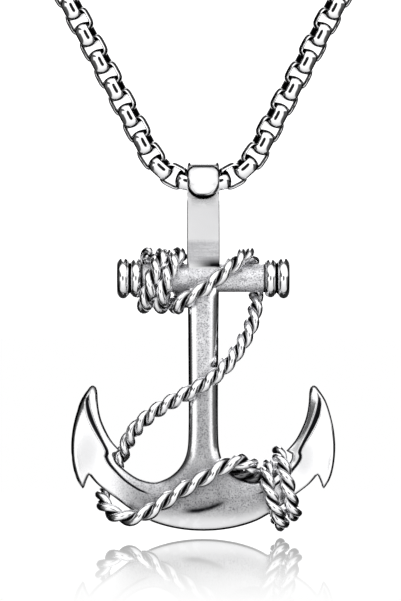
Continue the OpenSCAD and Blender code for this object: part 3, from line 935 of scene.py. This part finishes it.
def chain_piece(name, node, middles, frames, first, detail):
    """Links numbered from first, with frames of (along, hole axis, up), every other one turned."""
    shape, faces, dark, ends = link_shape(*detail)
    points, all_faces, recess = [], [], []
    for i, (middle, (along, axis, up)) in enumerate(zip(middles, frames)):
        turned = (first + i) % 2 != 0
        if turned:
            axis, up = up, -axis
        points.append(middle + shape @ np.stack([along, axis, up]))
        all_faces.append(faces + i * len(shape))
        # Painted shade: the hole dark, and the link's ends dark, darker at the upper end than the
        # lower
        upper = shape[:, 0] * along[2] > 0
        shade = np.where(dark > 0, LINK_SHADE, 0.0) if turned else dark
        recess.append(np.maximum(shade, ends * np.where(upper, LINK_SHADE, LINK_SHADE_LOWER)))
    part = {"points": np.vstack(points), "faces": np.vstack(all_faces).tolist(),
            "values": {"recess": np.concatenate(recess)}}
    piece = add_piece(name, [part], CHAIN_STEEL, sharp=50)
    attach(piece, "chain")
    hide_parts(node)


def rolled(axis, up, roll):
    """Both side vectors of a link turned about the chain."""
    c, s = math.cos(roll), math.sin(roll)
    return c * axis + s * up, c * up - s * axis


def front_place(k):
    """Middle and frame of front link k, counted from the one in the bail."""
    s = abs(k) * LINK_PITCH
    side = -1 if k < 0 else 1
    a = min(max((s - LEVEL_HALF) / BEND_R, 0), BEND_ANGLE)
    past = max(s - (LEVEL_HALF + BEND_R * BEND_ANGLE), 0)
    x = min(s, LEVEL_HALF) + BEND_R * math.sin(a) + past * math.cos(a)
    z = BEND_R * (1 - math.cos(a)) + past * math.sin(a)
    slope = side * a
    along = np.array([math.cos(slope), 0, math.sin(slope)])
    up = np.array([-math.sin(slope), 0, math.cos(slope)])
    roll = LINK_ROLL if k % 2 == 0 else LINK_ROLL_TURNED
    axis, up = rolled(np.array([0.0, 1.0, 0.0]), up, roll)
    return BORE + np.array([side * x, 0, z]), (along, axis, up)


def chain_front():
    middles, frames = zip(*map(front_place, range(-FRONT_LINKS, FRONT_LINKS + 1)))
    chain_piece("chain_front_links", "chain_front", middles, frames, -FRONT_LINKS, (72, 10))


def chain_back():
    """Links from the front ones up to the jump rings, with the twist spread evenly."""
    start, (_, axis0, _) = front_place(FRONT_LINKS)
    path = curve([start] + BACK_ROUTE[::-1], 40)
    run = runs(path)
    middle = at_runs(path, run, np.linspace(0, run[-1], BACK_GAPS + 1))
    along, axis, up = carried_frame(middle, axis0)
    twist = math.atan2(up[-1, 1], axis[-1, 1])
    twist = (twist + math.pi / 2) % math.pi - math.pi / 2
    frames = [(along[i], *rolled(axis[i], up[i], twist * (i / BACK_GAPS)))
              for i in range(1, BACK_GAPS + 1)]
    middle = middle[1:]
    chain_piece("chain_back_right", "chain_back", middle, frames, 1, (24, 4))
    frames = [(-mirrored(a), mirrored(s), mirrored(u)) for a, s, u in frames]
    chain_piece("chain_back_left", "chain_back", mirrored(middle), frames, 1, (24, 4))


def studio_world():
    """White tent open at the camera, dark beside and below it, with lights above and behind."""
    world = bpy.data.worlds.new("tent")
    scene.world = world
    world.use_nodes = True
    nodes = Nodes(world.node_tree)
    step, times, larger = nodes.step, nodes.times, nodes.larger
    place = nodes.add("ShaderNodeTexCoord").outputs["Generated"]
    x, y, z = nodes.add("ShaderNodeSeparateXYZ", {0: place}).outputs
    angle = nodes.math("ARCCOSINE", times(y, -1.0))
    width = nodes.math("ABSOLUTE", x)

    def by_angle(low, high, out_low=0.0, out_high=1.0):
        """Step between two angles from the camera's direction, in degrees."""
        return step(angle, math.radians(low), math.radians(high), out_low, out_high)

    # Opening for the camera, the tent growing dimmer to its rim, and the gap behind it
    tent = times(by_angle(12, 17, 0.01, 1.0), by_angle(30, 86, 1.25, 0.85))
    overhead = times(step(z, 0.35, 0.6), step(width, 0.24, 0.14))
    gap_end = nodes.math("MULTIPLY_ADD", overhead, math.radians(-42), math.radians(146))
    gap = times(by_angle(80, 88), nodes.math("LESS_THAN", angle, gap_end))
    tent = nodes.math("ADD", tent, by_angle(95, 110, 0.0, 0.55))
    tent = times(tent, nodes.math("MULTIPLY_ADD", gap, -0.98, 1.0))

    # Grey table below, light above, and a dark room on both sides, nearer at the upper left
    table = step(z, -0.6, 0.0, 0.76, 1.0)
    top = step(z, 0.15, 0.75, 1.0, 1.25)
    left_low = step(nodes.math("MULTIPLY_ADD", width, -0.7, z), 0.06, -0.06)
    right_low = step(nodes.math("MULTIPLY_ADD", width, -0.15, z), 0.04, -0.06)
    left_high = times(step(z, 0.06, 0.14), step(x, -0.40, -0.52))
    left_under = times(step(z, -0.18, -0.28), step(x, -0.60, -0.72))
    left_far = larger(left_under, step(x, -0.74, -0.88))
    left = times(larger(left_high, left_far), left_low)
    right_level = times(step(z, -0.22, -0.12), step(x, 0.60, 0.76))
    right_far = step(x, 0.64, 0.78)
    right = times(larger(right_level, right_far), right_low)
    room = larger(left, right)
    lit = times(tent, nodes.math("MULTIPLY_ADD", room, -0.91, 1.0))
    lit = times(lit, times(table, top))
    seen = nodes.add("ShaderNodeLightPath").outputs["Is Camera Ray"]
    bright = larger(times(lit, 1.12), seen)
    background = nodes.add("ShaderNodeBackground", {"Color": WHITE, "Strength": bright})
    nodes.output(background, "ShaderNodeOutputWorld")


def floor():
    """Pale glossy floor whose mirror image fades away from the pendant."""
    level = BORE[2] + (BORE_PX[1] - FLOOR_PX) * MM_PER_PX
    mesh = bpy.data.meshes.new("floor")
    corners = FLOOR_HALF * np.array([(-1, -1, 0), (1, -1, 0), (1, 1, 0), (-1, 1, 0)])
    corners[:, 2] = level
    mesh.from_pydata((corners * MM).tolist(), [], [[0, 1, 2, 3]])
    material, nodes = new_material("floor_gloss")
    place = nodes.add("ShaderNodeNewGeometry").outputs["Position"]
    middle = (0.0, BORE[1] * MM, level * MM)
    gap = nodes.add("ShaderNodeVectorMath", {0: place, 1: middle}, operation="DISTANCE")
    share = nodes.step(gap.outputs["Value"], 0.0, MIRROR_FADE * MM, MIRROR_SHARE, 0.0)
    facing = nodes.add("ShaderNodeLayerWeight").outputs["Facing"]
    share = nodes.times(share, nodes.step(facing, 0.70, 0.92))
    plain = nodes.add("ShaderNodeEmission", {"Color": WHITE}).outputs[0]
    mirror = nodes.add("ShaderNodeBsdfGlossy", {"Color": WHITE, "Roughness": 0.02}).outputs[0]
    nodes.output(nodes.add("ShaderNodeMixShader", {0: share, 1: plain, 2: mirror}))
    mesh.materials.append(material)
    piece = new_object("floor", mesh)
    piece.visible_glossy = False
    piece.visible_diffuse = False


def camera():
    """Long lens straight on, framed as the photograph is."""
    data = bpy.data.cameras.new("camera")
    data.lens = data.sensor_width * CAMERA_DISTANCE / (PHOTO_PX[1] * MM_PER_PX)
    data.clip_start = 0.01
    data.clip_end = 20.0
    item = new_object("camera", data)
    x = (PHOTO_PX[0] / 2 - BORE_PX[0]) * MM_PER_PX
    z = (BORE_PX[1] - PHOTO_PX[1] / 2) * MM_PER_PX
    item.location = (BORE + np.array([x, -CAMERA_DISTANCE, z])) * MM
    item.rotation_euler = (math.pi / 2, 0, 0)
    scene.camera = item


def arc(middle_x, radius, angles):
    """Points (x, z) at the angles round a circle on the clasp's middle line."""
    return [(middle_x + radius * math.cos(t), radius * math.sin(t)) for t in angles]


def clasp():
    """Lobster clasp with rounded edges: claw, neck and eye cut from one plate."""
    data = bpy.data.curves.new("clasp_plate", "CURVE")
    data.dimensions = "2D"
    data.fill_mode = "BOTH"
    data.bevel_depth = CLASP_EDGE * MM
    data.bevel_resolution = 5
    data.extrude = (CLASP_T / 2 - CLASP_EDGE) * MM
    data.offset = -CLASP_EDGE * MM

    def pod(index):
        """Outline round the claw's and the neck's circles, joined by straight sides."""
        x1, r1, x2, r2 = CLAW[0], CLAW[index], NECK[0], NECK[index]
        lean = math.acos((r1 - r2) / (x2 - x1))
        big = np.linspace(lean, math.tau - lean, 40)
        return arc(x1, r1, big) + arc(x2, r2, np.linspace(-lean, lean, 24))

    def add_loop(points):
        spline = data.splines.new("POLY")
        spline.points.add(len(points) - 1)
        for point, (x, z) in zip(spline.points, points):
            point.co = (x * MM, z * MM, 0, 1)
        spline.use_cyclic_u = True

    def turn_about_claw(point):
        return math.atan2(point[1], point[0] - CLAW[0])

    eye_x, eye_r, eye_hole = EYE
    join = math.asin(NECK_JOIN_HALF / eye_r)
    eye = arc(eye_x, eye_r, np.linspace(-math.pi + join, math.pi - join, 40))
    body = [p for p in pod(1) if not (p[0] > NECK[0] and abs(p[1]) < NECK_JOIN_HALF)]
    upper = sorted([p for p in body if p[1] >= 0], key=turn_about_claw, reverse=True)
    lower = sorted([p for p in body if p[1] < 0], key=turn_about_claw)
    add_loop(upper + eye[::-1] + lower[::-1])
    add_loop(pod(2))
    add_loop(arc(eye_x, eye_hole, np.linspace(0, math.tau, 32, endpoint=False)))
    source = new_object("clasp_plate", data)
    bpy.context.view_layer.update()
    evaluated = source.evaluated_get(bpy.context.evaluated_depsgraph_get())
    mesh = bpy.data.meshes.new_from_object(evaluated)
    bpy.data.objects.remove(source)
    mesh.name = "clasp_lobster"
    for vertex in mesh.vertices:
        x, z, y = vertex.co
        vertex.co = (x, CLASP_Y * MM - y, z)
    mesh.shade_smooth()
    mesh.set_sharp_from_angle(angle=math.radians(40))
    mesh.materials.clear()
    mesh.materials.append(CHAIN_STEEL)
    piece = new_object("clasp_lobster", mesh)
    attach(piece, "chain")
    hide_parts("clasp")


def jump_rings():
    """The rings keep their CAD shape and take the links' steel."""
    for name in ("ring_left", "ring_right"):
        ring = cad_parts[name]
        ring.data.materials.clear()
        ring.data.materials.append(CHAIN_STEEL)


scene.view_settings.view_transform = "Standard"
camera()
studio_world()
floor()
CHAIN_STEEL = chain_steel()
anchor()
rope()
chain_front()
chain_back()
clasp()
jump_rings()

bpy.context.view_layer.update()
